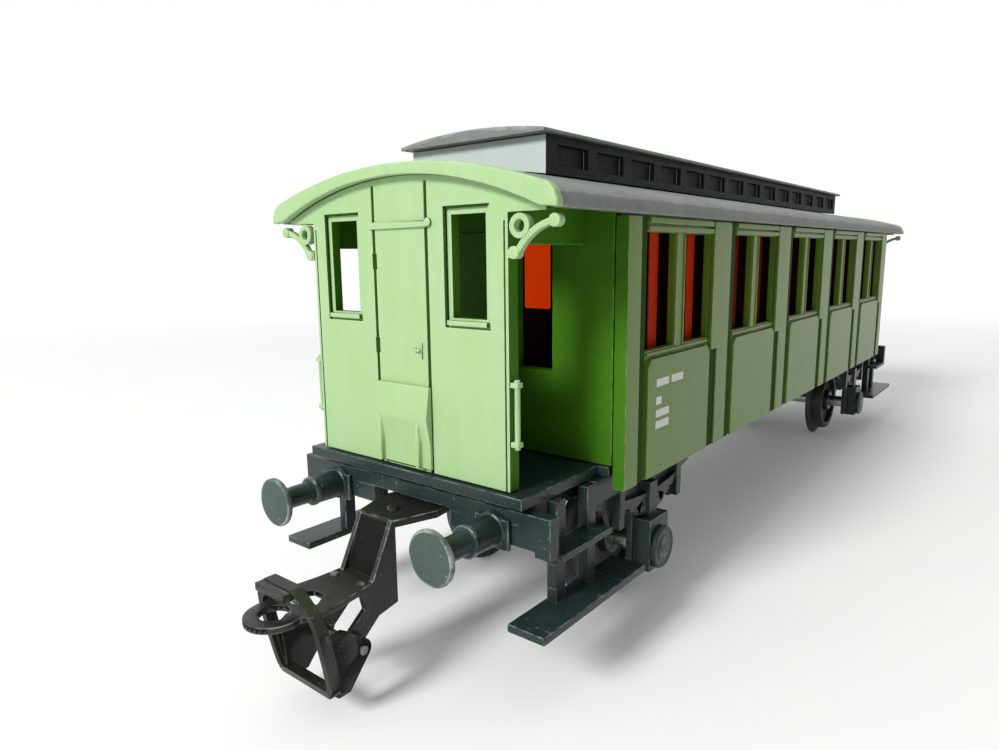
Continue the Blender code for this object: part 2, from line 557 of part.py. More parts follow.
def interior(finish):
    """Seat moulding: a floor tray with full-height partitions that have a corridor opening, and benches."""
    base = (DECK_TOP + 1.0, DECK_TOP + 1.6)
    tray = shape((block, (-10.5, 10.5), (-SALOON_FACE + WALL + 0.3, SALOON_FACE - WALL - 0.3), base))
    walls = []
    benches = []
    for bay in range(BAYS):
        middle = (bay - (BAYS - 1) / 2) * BAY_PITCH
        for offset, facing in ((-0.95, -1), (5.05, 1)):
            y = middle + offset
            for x in ((-10.5, 0.2), (3.4, 10.5)):
                walls.append((block, x, (y - 0.35, y + 0.35), (base[0] + 0.2, 28.2)))
                seat_y = sorted((y + facing * 0.2, y + facing * 2.0))
                benches.append((block, (x[0] + 0.15, x[1] - 0.15), seat_y, (base[0] + 0.25, 17.3)))
    piece("interior", tray, finish, add=(shape(*walls), shape(*benches)))


def build():
    for old in list(bpy.data.objects):
        bpy.data.objects.remove(old)
    green = material("body_green", (0.33, 0.52, 0.20), 0.5)
    grey = material("roof_grey", (0.30, 0.33, 0.32), 0.6)
    black = material("chassis_black", (0.03, 0.035, 0.035), 0.45)
    red = material("interior_red", (0.55, 0.05, 0.02), 0.45)
    steel = material("axle_steel", (0.55, 0.55, 0.54), 0.35, 1.0)
    coupler_black = material("coupler_black", (0.035, 0.037, 0.036), 0.4)

    for side in (-1, 1):
        side_wall(side, green)
    roof(grey)
    clerestory(grey, grey)
    chassis_floor(black)
    ballast_plate(steel)
    interior(red)
    for end in (FRONT, REAR):
        bulkhead(end, green)
        end_wall(end, green)
        gangway_plate(end, green)
        roof_rim(end, green)
        buffer_beam(end, black)
        axle(end, steel)
        coupler_arm(end, coupler_black)
        coupler_hoop(end, coupler_black)
        coupler_pin(end, steel)
        hoop_pin(end, steel)
        for side in (-1, 1):
            roof_bracket(end, side, green)
            handrail(end, side, green)
            buffer(end, side, black)
            axle_guard(end, side, black)
            axlebox_cover(end, side, black)
            step_unit(end, side, black)
            wheel(end, side, black)


build()
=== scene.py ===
"""Looks for the model passenger coach: eased mouldings, small fittings, finishes, floor, light and camera.

Sizes are in millimetres and MM turns them into the frame's metres. The front end is at -Y and +Z is up.
"""

import json
from math import cos, pi, radians, sin

import bmesh
import bpy
from mathutils import Matrix, Vector

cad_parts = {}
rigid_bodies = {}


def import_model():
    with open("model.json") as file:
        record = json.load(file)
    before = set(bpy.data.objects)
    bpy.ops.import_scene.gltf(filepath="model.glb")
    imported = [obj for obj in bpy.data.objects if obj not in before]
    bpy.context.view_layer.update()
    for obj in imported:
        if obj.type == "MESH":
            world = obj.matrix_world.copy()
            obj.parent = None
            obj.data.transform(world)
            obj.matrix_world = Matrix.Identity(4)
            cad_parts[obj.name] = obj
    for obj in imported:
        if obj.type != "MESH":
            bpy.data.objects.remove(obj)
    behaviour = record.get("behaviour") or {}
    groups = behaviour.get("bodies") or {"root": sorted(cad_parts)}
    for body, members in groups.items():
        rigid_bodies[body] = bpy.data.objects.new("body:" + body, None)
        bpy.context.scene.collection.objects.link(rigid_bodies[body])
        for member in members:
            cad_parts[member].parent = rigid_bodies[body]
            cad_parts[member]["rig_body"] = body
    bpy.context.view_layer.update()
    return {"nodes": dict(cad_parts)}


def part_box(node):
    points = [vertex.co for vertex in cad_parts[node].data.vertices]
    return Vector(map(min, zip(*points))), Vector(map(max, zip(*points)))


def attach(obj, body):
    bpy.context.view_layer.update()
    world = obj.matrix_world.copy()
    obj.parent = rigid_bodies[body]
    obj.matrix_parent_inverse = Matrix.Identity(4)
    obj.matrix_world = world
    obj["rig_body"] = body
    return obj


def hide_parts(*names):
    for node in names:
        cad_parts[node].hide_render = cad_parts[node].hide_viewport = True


MM = 0.001

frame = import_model()
nodes = frame["nodes"]


# ---- shader building blocks ----
def new_node(tree, kind, **settings):
    node = tree.nodes.new(kind)
    for key, value in settings.items():
        setattr(node, key, value)
    return node


def feed(tree, socket, value):
    """A socket takes a number, or a link from another node's output."""
    if isinstance(value, bpy.types.NodeSocket):
        tree.links.new(value, socket)
    else:
        socket.default_value = value


def math_node(tree, operation, a, b=0.0):
    node = new_node(tree, "ShaderNodeMath", operation=operation, use_clamp=operation == "MULTIPLY")
    feed(tree, node.inputs[0], a)
    feed(tree, node.inputs[1], b)
    return node.outputs[0]


def remap(tree, value, low, high, to_low=0.0, to_high=1.0):
    node = new_node(tree, "ShaderNodeMapRange", clamp=True)
    for socket, number in zip(node.inputs, (value, low, high, to_low, to_high)):
        feed(tree, socket, number)
    return node.outputs[0]


def noise(tree, place, scale, detail=3.0, roughness=0.55):
    node = new_node(tree, "ShaderNodeTexNoise")
    feed(tree, node.inputs["Vector"], place)
    feed(tree, node.inputs["Scale"], scale)
    feed(tree, node.inputs["Detail"], detail)
    feed(tree, node.inputs["Roughness"], roughness)
    return node.outputs[0]


def blend(tree, mask, low, high):
    """Colour low where the mask is 0 and high where it is 1."""
    node = new_node(tree, "ShaderNodeMix", data_type="RGBA")
    feed(tree, node.inputs[0], mask)
    feed(tree, node.inputs[6], low)
    feed(tree, node.inputs[7], high)
    return node.outputs[2]


def new_group(name, inputs, outputs):
    tree = bpy.data.node_groups.new(name, "ShaderNodeTree")
    for label, value in inputs.items():
        socket = tree.interface.new_socket(name=label, in_out="INPUT", socket_type="NodeSocketFloat")
        socket.default_value = value
    for label in outputs:
        tree.interface.new_socket(name=label, in_out="OUTPUT", socket_type="NodeSocketFloat")
    place = new_node(tree, "ShaderNodeTexCoord").outputs["Object"]
    return tree, new_node(tree, "NodeGroupInput").outputs, new_node(tree, "NodeGroupOutput").inputs, place


def moulded_surface():
    """Slow clouding of the plastic, its fine moulded grain, and faint flow streaks down the walls."""
    tree, given, made, place = new_group(
        "Moulded surface", {"Cloud Scale": 110.0, "Grain Scale": 5200.0}, ("Cloud", "Grain", "Streak"))
    cloud = noise(tree, place, given["Cloud Scale"], 5.0, 0.6)
    grain = noise(tree, place, given["Grain Scale"], 2.0, 0.6)
    stretch = new_node(tree, "ShaderNodeMapping")
    stretch.inputs["Scale"].default_value = (1.0, 1.0, 0.12)
    feed(tree, stretch.inputs["Vector"], place)
    streak = noise(tree, stretch.outputs[0], 900.0, 3.0, 0.5)
    feed(tree, made["Cloud"], remap(tree, cloud, 0.3, 0.7))
    feed(tree, made["Grain"], remap(tree, grain, 0.3, 0.7))
    feed(tree, made["Streak"], remap(tree, streak, 0.35, 0.65))
    return tree


def edge_wear():
    """Rubbed outer edges, broken up so that the rubbing is uneven."""
    tree, given, made, place = new_group("Edge wear", {"Amount": 0.5, "Breakup Scale": 900.0}, ("Wear",))
    edge = new_node(tree, "ShaderNodeAttribute", attribute_name="rubbed").outputs["Fac"]
    broken = remap(tree, noise(tree, place, given["Breakup Scale"], 4.0, 0.65), 0.42, 0.62)
    uneven = math_node(tree, "MULTIPLY", edge, broken)
    feed(tree, made["Wear"], math_node(tree, "MULTIPLY", uneven, given["Amount"]))
    return tree


def settled_dust():
    """Dust on faces that look up, in drifts with a few single specks."""
    tree, given, made, place = new_group("Settled dust", {"Amount": 0.5, "Drift Scale": 260.0}, ("Dust",))
    parts = new_node(tree, "ShaderNodeSeparateXYZ")
    feed(tree, parts.inputs[0], new_node(tree, "ShaderNodeNewGeometry").outputs["Normal"])
    upward = remap(tree, parts.outputs["Z"], 0.1, 0.9)
    drift = remap(tree, noise(tree, place, given["Drift Scale"], 6.0, 0.65), 0.4, 0.75)
    speck = remap(tree, noise(tree, place, 3600.0, 1.0, 0.5), 0.7, 0.76)
    drifts = math_node(tree, "MULTIPLY", math_node(tree, "MULTIPLY", upward, drift), given["Amount"])
    specks = math_node(tree, "MULTIPLY", speck, given["Amount"])
    feed(tree, made["Dust"], math_node(tree, "MAXIMUM", drifts, specks))
    return tree


def handling_marks():
    """Hair scratches in scattered places, and tiny pale nicks."""
    tree, given, made, place = new_group("Handling marks", {"Scratches": 0.5, "Nicks": 0.5}, ("Marks",))
    stretch = new_node(tree, "ShaderNodeMapping")
    stretch.inputs["Rotation"].default_value = (0.35, 0.25, 0.6)
    stretch.inputs["Scale"].default_value = (0.035, 1.0, 1.0)
    feed(tree, stretch.inputs["Vector"], place)
    hair = remap(tree, noise(tree, stretch.outputs[0], 5200.0, 0.0, 0.5), 0.74, 0.8)
    patch = remap(tree, noise(tree, place, 320.0, 2.0), 0.48, 0.62)
    scratches = math_node(tree, "MULTIPLY", math_node(tree, "MULTIPLY", hair, patch), given["Scratches"])
    nick = remap(tree, noise(tree, place, 2600.0, 1.0, 0.4), 0.73, 0.77)
    nicks = math_node(tree, "MULTIPLY", nick, given["Nicks"])
    feed(tree, made["Marks"], math_node(tree, "MAXIMUM", scratches, nicks))
    return tree


SURFACE = moulded_surface()
WEAR = edge_wear()
DUST = settled_dust()
MARKS = handling_marks()


def placed(tree, group, **values):
    node = new_node(tree, "ShaderNodeGroup", node_tree=group)
    for label, value in values.items():
        node.inputs[label.replace("_", " ")].default_value = value
    return node.outputs


def finish(name, deep, pale, rough, metallic=0.0, coat=0.0, gloss=0.5, cloud=110.0, grain=5200.0,
           relief=0.02, wear=((0.5, 0.5, 0.5), 0.2), dust=((0.5, 0.5, 0.46), 0.1),
           marks=((0.7, 0.7, 0.66), 0.2, 0.2), glow=(0.0, 0.0, 0.0)):
    """A finish from its deep and pale colours and its roughness range.

    Wear, dust and marks are each a colour and then amounts. Glow is painted light: an emission that makes a
    thin part look lit from behind.
    """
    made = bpy.data.materials.new(name)
    made.use_nodes = True
    tree = made.node_tree
    shader = tree.nodes["Principled BSDF"]
    shader.inputs["Coat Weight"].default_value = coat
    shader.inputs["Coat Roughness"].default_value = 0.22
    shader.inputs["Metallic"].default_value = metallic
    shader.inputs["Specular IOR Level"].default_value = gloss
    shader.inputs["Emission Color"].default_value = (*glow, 1.0)
    shader.inputs["Emission Strength"].default_value = 1.0 if any(glow) else 0.0
    surface = placed(tree, SURFACE, Cloud_Scale=cloud, Grain_Scale=grain)
    rubbed = placed(tree, WEAR, Amount=wear[1])["Wear"]
    dusty = placed(tree, DUST, Amount=dust[1])["Dust"]
    marked = placed(tree, MARKS, Scratches=marks[1], Nicks=marks[2])["Marks"]
    tone = math_node(tree, "ADD", math_node(tree, "MULTIPLY", surface["Cloud"], 0.65),
                     math_node(tree, "MULTIPLY", surface["Streak"], 0.35))
    colour = blend(tree, tone, (*deep, 1.0), (*pale, 1.0))
    colour = blend(tree, rubbed, colour, (*wear[0], 1.0))
    colour = blend(tree, dusty, colour, (*dust[0], 1.0))
    colour = blend(tree, marked, colour, (*marks[0], 1.0))
    feed(tree, shader.inputs["Base Color"], colour)
    smooth = remap(tree, surface["Grain"], 0.0, 1.0, rough[0], rough[1])
    dulled = math_node(tree, "ADD", smooth, math_node(tree, "MULTIPLY", dusty, 0.3))
    feed(tree, shader.inputs["Roughness"], dulled)
    bump = new_node(tree, "ShaderNodeBump")
    bump.inputs["Strength"].default_value = 0.5
    bump.inputs["Distance"].default_value = relief * MM
    height = math_node(tree, "SUBTRACT", surface["Grain"], math_node(tree, "MULTIPLY", marked, 0.6))
    feed(tree, bump.inputs["Height"], height)
    feed(tree, shader.inputs["Normal"], bump.outputs[0])
    return made


FINISHES = {
    "wall green": finish("Wall green", (0.092, 0.166, 0.010), (0.118, 0.196, 0.018), (0.32, 0.42),
                         coat=0.10, gloss=0.5, wear=((0.30, 0.38, 0.15), 0.5),
                         dust=((0.35, 0.42, 0.24), 0.03), marks=((0.30, 0.36, 0.20), 0.10, 0.2)),
    # Painted shade: a near-black green for bars laid where each groove and recess falls into shadow.
    "painted groove shade": finish("Groove shade, painted", (0.010, 0.040, 0.001), (0.016, 0.055, 0.003), (0.6, 0.75),
                           gloss=0.1, wear=((0.05, 0.10, 0.02), 0.3), dust=((0.05, 0.08, 0.03), 0.0),
                           marks=((0.05, 0.08, 0.03), 0.0, 0.0)),
    # The bulkhead's deeper green, also laid as painted shade on the end walls' and side walls' faces that
    # look into the porches.
    "porch green and painted shade": finish("Porch green, also painted shade", (0.036, 0.132, 0.003), (0.050, 0.160, 0.007), (0.50, 0.62),
                          gloss=0.12, wear=((0.24, 0.44, 0.12), 0.4), dust=((0.3, 0.4, 0.2), 0.02),
                          marks=((0.25, 0.4, 0.15), 0.05, 0.1)),
    "end green": finish("End green", (0.282, 0.448, 0.196), (0.335, 0.480, 0.250), (0.46, 0.58), gloss=0.4,
                        wear=((0.52, 0.64, 0.40), 0.4), dust=((0.50, 0.60, 0.38), 0.02),
                        marks=((0.62, 0.70, 0.52), 0.04, 0.10)),
    "roof grey": finish("Roof grey", (0.140, 0.156, 0.142), (0.215, 0.233, 0.216), (0.42, 0.56), gloss=0.25,
                        relief=0.03, cloud=190.0, grain=3800.0, wear=((0.34, 0.36, 0.33), 0.5),
                        dust=((0.42, 0.43, 0.40), 0.12), marks=((0.4, 0.42, 0.4), 0.08, 0.2)),
    "clerestory dark": finish("Clerestory dark", (0.003, 0.004, 0.002), (0.007, 0.009, 0.006), (0.5, 0.64),
                              gloss=0.22, wear=((0.07, 0.08, 0.06), 0.4), dust=((0.2, 0.2, 0.18), 0.01),
                              marks=((0.1, 0.1, 0.09), 0.0, 0.2)),
    "clerestory end": finish("Clerestory end", (0.420, 0.475, 0.445), (0.480, 0.530, 0.500), (0.5, 0.62),
                             wear=((0.5, 0.53, 0.51), 0.3), dust=((0.5, 0.52, 0.5), 0.03),
                             marks=((0.5, 0.52, 0.5), 0.05, 0.1)),
    "chassis": finish("Chassis black", (0.010, 0.019, 0.019), (0.019, 0.033, 0.032), (0.26, 0.40),
                      gloss=0.32, wear=((0.20, 0.24, 0.23), 0.6), dust=((0.22, 0.24, 0.22), 0.02),
                      marks=((0.22, 0.27, 0.27), 0.35, 0.35)),
    "coupler": finish("Coupler black", (0.008, 0.010, 0.006), (0.018, 0.020, 0.014), (0.28, 0.42),
                      gloss=0.4, wear=((0.30, 0.32, 0.28), 0.7), dust=((0.20, 0.20, 0.17), 0.02),
                      marks=((0.30, 0.32, 0.29), 0.25, 0.25)),
    # Painted shade: a deeper black for the hollow web of the coupler's drop channel.
    "channel painted shade": finish("Channel black, painted shade", (0.002, 0.003, 0.002), (0.004, 0.005, 0.004), (0.55, 0.7),
                            gloss=0.12, wear=((0.1, 0.1, 0.09), 0.4), dust=((0.1, 0.1, 0.1), 0.0),
                            marks=((0.1, 0.1, 0.1), 0.1, 0.1)),
    "buffer head": finish("Buffer head", (0.040, 0.060, 0.052), (0.054, 0.076, 0.068), (0.52, 0.66),
                          gloss=0.35, wear=((0.34, 0.38, 0.35), 0.7), dust=((0.3, 0.32, 0.3), 0.03),
                          marks=((0.30, 0.34, 0.31), 0.15, 0.6)),
    "wheel": finish("Wheel black", (0.010, 0.012, 0.010), (0.020, 0.022, 0.019), (0.32, 0.46), gloss=0.4,
                    wear=((0.3, 0.3, 0.28), 0.5), dust=((0.2, 0.2, 0.18), 0.02)),
    "steel": finish("Turned steel", (0.42, 0.42, 0.40), (0.60, 0.60, 0.58), (0.22, 0.36), metallic=1.0,
                    relief=0.01, wear=((0.7, 0.7, 0.68), 0.4)),
    "dull steel": finish("Dull steel", (0.16, 0.16, 0.15), (0.28, 0.28, 0.26), (0.36, 0.5), metallic=1.0,
                         wear=((0.45, 0.45, 0.43), 0.4)),
    "red": finish("Seat red", (0.38, 0.014, 0.0), (0.50, 0.028, 0.001), (0.44, 0.58), gloss=0.1,
                  wear=((0.60, 0.08, 0.02), 0.3), dust=((0.5, 0.2, 0.1), 0.02),
                  marks=((0.6, 0.1, 0.05), 0.05, 0.1)),
    # Painted shade: a darker seat red for the window faces of the middle bays.
    "red shaded": finish("Seat red, shaded", (0.090, 0.004, 0.0), (0.130, 0.008, 0.0), (0.5, 0.65),
                         gloss=0.08, wear=((0.20, 0.03, 0.01), 0.3), dust=((0.2, 0.1, 0.05), 0.0),
                         marks=((0.2, 0.04, 0.02), 0.0, 0.0)),
    # Painted light: a glowing copy of the seat red for the caps behind the bulkhead windows.
    "red painted glow": finish("Seat red, painted glow", (0.55, 0.020, 0.0), (0.66, 0.050, 0.002), (0.4, 0.5),
                      gloss=0.1, wear=((0.80, 0.20, 0.05), 0.3), dust=((0.5, 0.2, 0.1), 0.0),
                      marks=((0.6, 0.1, 0.05), 0.0, 0.0), glow=(0.40, 0.022, 0.0)),
    # Painted shade: a near-black seat red for the faces further inside the coach.
    "red painted deep shade": finish("Seat red, painted deep shade", (0.020, 0.001, 0.0), (0.034, 0.002, 0.0), (0.55, 0.7),
                         gloss=0.1, wear=((0.08, 0.01, 0.0), 0.3), dust=((0.05, 0.02, 0.01), 0.0),
                         marks=((0.05, 0.01, 0.01), 0.0, 0.0)),
    "marking": finish("Marking white", (0.60, 0.64, 0.56), (0.74, 0.78, 0.70), (0.45, 0.6),
                      dust=((0.4, 0.45, 0.3), 0.15)),
}


# ---- shapes ----
RUBBED_WIDTH = 0.11


def bar(bm, x, y, z):
    """A rectangular bar between pairs of limits."""
    size = Vector((x[1] - x[0], y[1] - y[0], z[1] - z[0])) * MM
    centre = Vector((x[0] + x[1], y[0] + y[1], z[0] + z[1])) * MM / 2
    bmesh.ops.create_cube(bm, size=1.0, matrix=Matrix.Translation(centre) @ Matrix.Diagonal((*size, 1.0)))


def spun(bm, profile, axis, centre, segments=72):
    """A profile of (distance along the axis, radius) spun about an axis through the centre."""
    direction = {"X": Vector((1, 0, 0)), "Y": Vector((0, 1, 0)), "Z": Vector((0, 0, 1))}[axis]
    radial = Vector((0, 1, 0)) if axis == "X" else Vector((1, 0, 0))
    points = [bm.verts.new((Vector(centre) + direction * a + radial * r) * MM) for a, r in profile]
    edges = [bm.edges.new(pair) for pair in zip(points, points[1:])]
    bmesh.ops.spin(bm, geom=points + edges, cent=Vector(centre) * MM, axis=direction, angle=2 * pi,
                   steps=segments, use_merge=True)
    bmesh.ops.remove_doubles(bm, verts=bm.verts, dist=0.001 * MM)


def ease(bm, width, angle=25.0, segments=2, clamp=False):
    """Rounds every edge sharper than the angle."""
    sharp = [edge for edge in bm.edges if edge.is_manifold and edge.calc_face_angle() > radians(angle)]
    bmesh.ops.bevel(bm, geom=sharp, offset=width * MM, offset_type="OFFSET", segments=segments, profile=0.5,
                    affect="EDGES", material=-1, clamp_overlap=clamp)


def mark_edges(bm):
    """Writes 1 on the narrow faces that run along an outer edge, where handling rubs the finish."""
    rubbed = bm.faces.layers.float.new("rubbed")
    for face in bm.faces:
        longest = max(edge.calc_length() for edge in face.edges)
        turn = sum(edge.calc_face_angle_signed(0.0) for edge in face.edges)
        share = 2.0 if len(face.edges) == 3 else 1.0
        narrow = share * face.calc_area() < RUBBED_WIDTH * MM * longest
        face[rubbed] = 1.0 if narrow and turn > radians(20) else 0.0


def colour_faces(bm, choose):
    """Numbers each face's finish, chosen from the face's middle in millimetres and its normal."""
    for face in bm.faces:
        face.material_index = int(choose(face.calc_center_median() / MM, face.normal))


def cleaned_copy(node):
    """A frame node's form with its doubled points merged and its flat faces joined up."""
    bm = bmesh.new()
    bm.from_mesh(nodes[node].data)
    bmesh.ops.remove_doubles(bm, verts=bm.verts, dist=0.002 * MM)
    bmesh.ops.dissolve_limit(bm, angle_limit=radians(0.3), verts=bm.verts, edges=bm.edges)
    return bm


def eased_copy(node, width, clamp=False):
    """A frame node's form with its edges rounded. Triangles keep its faces flat while the edges are cut."""
    bm = cleaned_copy(node)
    bmesh.ops.triangulate(bm, faces=bm.faces[:])
    ease(bm, width, clamp=clamp)
    return bm


def piece(name, bm, finishes, body="root", stands_for=(), sharp=50.0):
    """A finished piece that rides on a body, and stands for the frame nodes that it covers."""
    bmesh.ops.recalc_face_normals(bm, faces=bm.faces)
    mark_edges(bm)
    mesh = bpy.data.meshes.new(name)
    bm.to_mesh(mesh)
    bm.free()
    mesh.shade_smooth()
    mesh.set_sharp_from_angle(angle=radians(sharp))
    for label in finishes:
        mesh.materials.append(FINISHES[label])
    made = bpy.data.objects.new(name, mesh)
    bpy.context.scene.collection.objects.link(made)
    shading = made.modifiers.new("Even shading", "WEIGHTED_NORMAL")
    shading.keep_sharp = True
    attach(made, body)
    if stands_for:
        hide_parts(*stands_for)
    return made


def limits(node):
    """A frame node's X, Y and Z limits in millimetres."""
    low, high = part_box(node)
    return [(low[i] / MM, high[i] / MM) for i in range(3)]


def middle(pair):
    return (pair[0] + pair[1]) / 2


def outward(side, near, far):
    """A pair of limits on the side that is 1 or -1, from how far out the bar starts and ends."""
    return sorted((side * near, side * far))


# ---- places that the pieces share, in millimetres ----
ENDS = ((-1, "front"), (1, "rear"))
SIDES = ((1, "right"), (-1, "left"))
BAY_PITCH = 15.2
BAY_MIDDLES = [(bay - 2) * BAY_PITCH for bay in range(5)]
PANE_STARTS = (-5.3, 0.75)
PANE_WIDTH = 4.55
PANE_HEIGHT = (20.2, 28.1)
SHEET_RECESS = 0.35
END_FACE = 46.55
GABLE_FOOT = 29.3


def wall_face(hand):
    """How far out the pillars of one side wall stand."""
    return max(abs(limit) for limit in limits("side_wall_" + hand)[0])


# ---- mouldings taken from the frame: name, finish, slot, edge rounding ----
MOULDINGS = [
    ("bulkhead", "porch green and painted shade", "body_green", 0.05),
    ("gangway_plate", "end green", "end_green", 0.05),
    ("roof_rim", "end green", "end_green", 0.09),
    ("roof_bracket", "end green", "end_green", 0.05),
    ("handrail", "end green", "end_green", 0.02),
    ("roof", "roof grey", "roof_grey", 0.08),
    ("clerestory_roof", "roof grey", "roof_grey", 0.06),
    ("chassis_floor", "chassis", "chassis_black", 0.06),
    ("buffer_beam", "chassis", "chassis_black", 0.06),
    ("axle_guard", "chassis", "chassis_black", 0.05),
    ("step_unit", "chassis", "chassis_black", 0.06),
    ("coupler_pin", "dull steel", "pin_steel", 0.04),
    ("hoop_pin", "dull steel", "pin_steel", 0.03),
    ("ballast_plate", "dull steel", "ballast_steel", 0.06),
]


def moulding_for(node):
    words = node.split("_")
    plain = "_".join(word for word in words if word not in ("front", "rear", "left", "right"))
    return next((row for row in MOULDINGS if row[0] == plain), None)


def mouldings():
    for node in sorted(nodes):
        row = moulding_for(node)
        if row:
            plain, label, slot, width = row
            form = eased_copy(node, width, clamp=plain == "roof_bracket")
            piece(node + "_moulding", form, (label,), nodes[node]["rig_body"], (node,))


def side_walls():
    """The end edges, which look out over the porches, take the porches' darker green as painted shade."""
    for node in ("side_wall_left", "side_wall_right"):
        form = eased_copy(node, 0.05)
        reach = limits(node)[1][1] - 0.2
        colour_faces(form, lambda centre, normal: abs(centre.y) > reach and abs(normal.y) > 0.7)
        piece(node + "_moulding", form, ("wall green", "porch green and painted shade"), "root", (node,))


def end_walls():
    """The outer face is pale, and the porch side, the edges and the window reveals get a deeper green that
    is painted shade.
    """
    for end, name in ENDS:
        node = "end_wall_" + name
        form = eased_copy(node, 0.03)
        colour_faces(form, lambda centre, normal: normal.y * end < 0.3 and centre.z < GABLE_FOOT)
        piece(node + "_moulding", form, ("end green", "porch green and painted shade"), "root", (node,))


def coupler_arm(node):
    """The faces inside the arm's drop channel get a deeper black, which is painted shade."""
    form = eased_copy(node, 0.05)
    colour_faces(form, lambda centre, normal: (
        abs(centre.x) < 1.24 and 6.9 < centre.z < 10.35 and abs(normal.y) > 0.4))
    body = nodes[node]["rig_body"]
    piece(node + "_moulding", form, ("coupler", "channel painted shade"), body, (node,))


def is_bend(edge):
    """A fold that runs straight across the hoop's strip."""
    run = edge.verts[1].co - edge.verts[0].co
    across = abs(run.y) > 0.9 * run.length and run.length > 0.4 * MM
    return across and edge.is_manifold and radians(8) < edge.calc_face_angle() < radians(62)


def coupler_hoop(node):
    """The hoop's bends are rounded before its edges are eased."""
    bm = cleaned_copy(node)
    bends = [edge for edge in bm.edges if is_bend(edge)]
    bmesh.ops.bevel(bm, geom=bends, offset=0.42 * MM, offset_type="OFFSET", segments=6, profile=0.5,
                    affect="EDGES", material=-1, clamp_overlap=True)
    bmesh.ops.triangulate(bm, faces=bm.faces[:])
    ease(bm, 0.05, angle=40.0, clamp=True)
    piece(node + "_moulding", bm, ("coupler",), nodes[node]["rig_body"], (node,))


def couplers():
    for _, name in ENDS:
        coupler_arm("coupler_arm_" + name)
        coupler_hoop("coupler_hoop_" + name)


def seats():
    """Seat backs and benches in one red, split into painted light and shade: plain red on the outer faces
    of the end bays, painted shade on the outer faces of the middle bays, deep painted shade further in, and
    a painted glow on a cap behind each bulkhead window.
    """
    x, y, z = limits("interior")
    foot = z[0] + 0.55
    bench_top = 17.2
    back_starts = (-2.75, 3.3)
    back_thickness = 1.3
    aisle = (2.2, 3.4)
    cap_foot = 22.6
    front_cap = (-33.25, -33.0)
    rear_cap = (34.8, 35.1)
    bm = bmesh.new()
    bar(bm, x, y, (z[0], z[0] + 0.6))
    for bay in BAY_MIDDLES:
        for start in (bay + offset for offset in back_starts):
            for across in ((x[0], aisle[0]), (aisle[1], x[1])):
                bar(bm, across, (start, start + back_thickness), (foot, z[1]))
                bar(bm, (across[0] + 0.2, across[1] - 0.2), (start + 1.2, start + 3.4), (foot, bench_top))
    # The caps carry the painted glow that stands for light through the bulkhead windows.
    bar(bm, (-0.2, 2.2), front_cap, (cap_foot, z[1] - 0.05))
    bar(bm, (-2.2, 0.2), rear_cap, (cap_foot, z[1] - 0.05))
    ease(bm, 0.12)

    # Picks painted light and shade by place: 3 the glowing cap, 2 deep painted shade inside, 1 painted
    # shade on the middle bays, 0 plain red.
    def shade(centre, normal):
        past_backs = centre.y < front_cap[0] + 0.1 or centre.y > rear_cap[1] - 0.1
        if past_backs and abs(centre.x) < 2.25 and centre.z > cap_foot:
            return 3
        if abs(centre.x) <= x[1] - 0.16:
            return 2
        return 1 if abs(centre.y) < 1.5 * BAY_PITCH else 0

    colour_faces(bm, shade)
    reds = ("red", "red shaded", "red painted deep shade", "red painted glow")
    piece("seat_moulding", bm, reds, "root", ("interior",))


def clerestory():
    """Its sides are nearly black and its two ends are grey."""
    bm = eased_copy("clerestory", 0.05)
    colour_faces(bm, lambda centre, normal: abs(normal.y) > 0.8 and abs(centre.x) < 5.8)
    finishes = ("clerestory dark", "clerestory end")
    piece("clerestory_moulding", bm, finishes, "root", ("clerestory",))


# ---- turned pieces ----
def wheels():
    """Each has a flange, a coned tread and a dished face."""
    for node in sorted(name for name in nodes if name.startswith("wheel_")):
        x, y, z = limits(node)
        side = 1 if middle(x) > 0 else -1
        back = min(abs(x[0]), abs(x[1]))
        face = max(abs(x[0]), abs(x[1]))
        flange = (z[1] - z[0]) / 2
        tread = flange - 0.85
        bore = 0.78
        profile = [(back, bore), (back, flange - 0.3), (back + 0.1, flange - 0.08), (back + 0.25, flange),
                   (back + 0.4, flange - 0.08), (back + 0.55, flange - 0.35), (back + 0.75, tread),
                   (face - 0.3, tread - 0.1), (face - 0.16, tread - 0.2), (face - 0.1, tread - 0.35),
                   (face - 0.1, 3.42), (face - 0.16, 3.34), (face - 0.72, 3.22), (face - 0.78, 3.1),
                   (face - 0.78, 1.62), (face - 0.72, 1.5), (face - 0.06, 1.38), (face, 1.3),
                   (face, bore), (back, bore)]
        bm = bmesh.new()
        spun(bm, [(side * a, r) for a, r in profile], "X", (0, middle(y), middle(z)), 96)
        piece(node + "_turned", bm, ("wheel",), nodes[node]["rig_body"], (node,), 35)


def axles():
    """Plain shafts with pin points at both ends."""
    for _, name in ENDS:
        node = "axle_" + name
        x, y, z = limits(node)
        tip = x[1]
        taper = [(0.0, 0), (0.12, 0.1), (0.85, 0.58), (0.95, 0.7), (1.05, 0.75)]
        profile = [(-tip + a, r) for a, r in taper] + [(tip - a, r) for a, r in reversed(taper)]
        bm = bmesh.new()
        spun(bm, profile, "X", (0, middle(y), middle(z)), 48)
        piece(node + "_turned", bm, ("steel",), nodes[node]["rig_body"], (node,), 35)


def axlebox_covers():
    """Round covers with a raised rim and a low boss."""
    for node in sorted(name for name in nodes if name.startswith("axlebox_cover")):
        x, y, z = limits(node)
        side = 1 if middle(x) > 0 else -1
        start = min(abs(x[0]), abs(x[1]))
        profile = [(0, 0), (0, 1.48), (0.05, 1.56), (0.22, 1.61), (0.36, 1.55), (0.42, 1.44), (0.36, 1.2),
                   (0.36, 1.0), (0.44, 0.84), (0.5, 0.7), (0.5, 0)]
        bm = bmesh.new()
        spun(bm, [(side * (start + a), r) for a, r in profile], "X", (0, middle(y), middle(z)), 64)
        piece(node + "_turned", bm, ("chassis",), "root", (node,), 35)


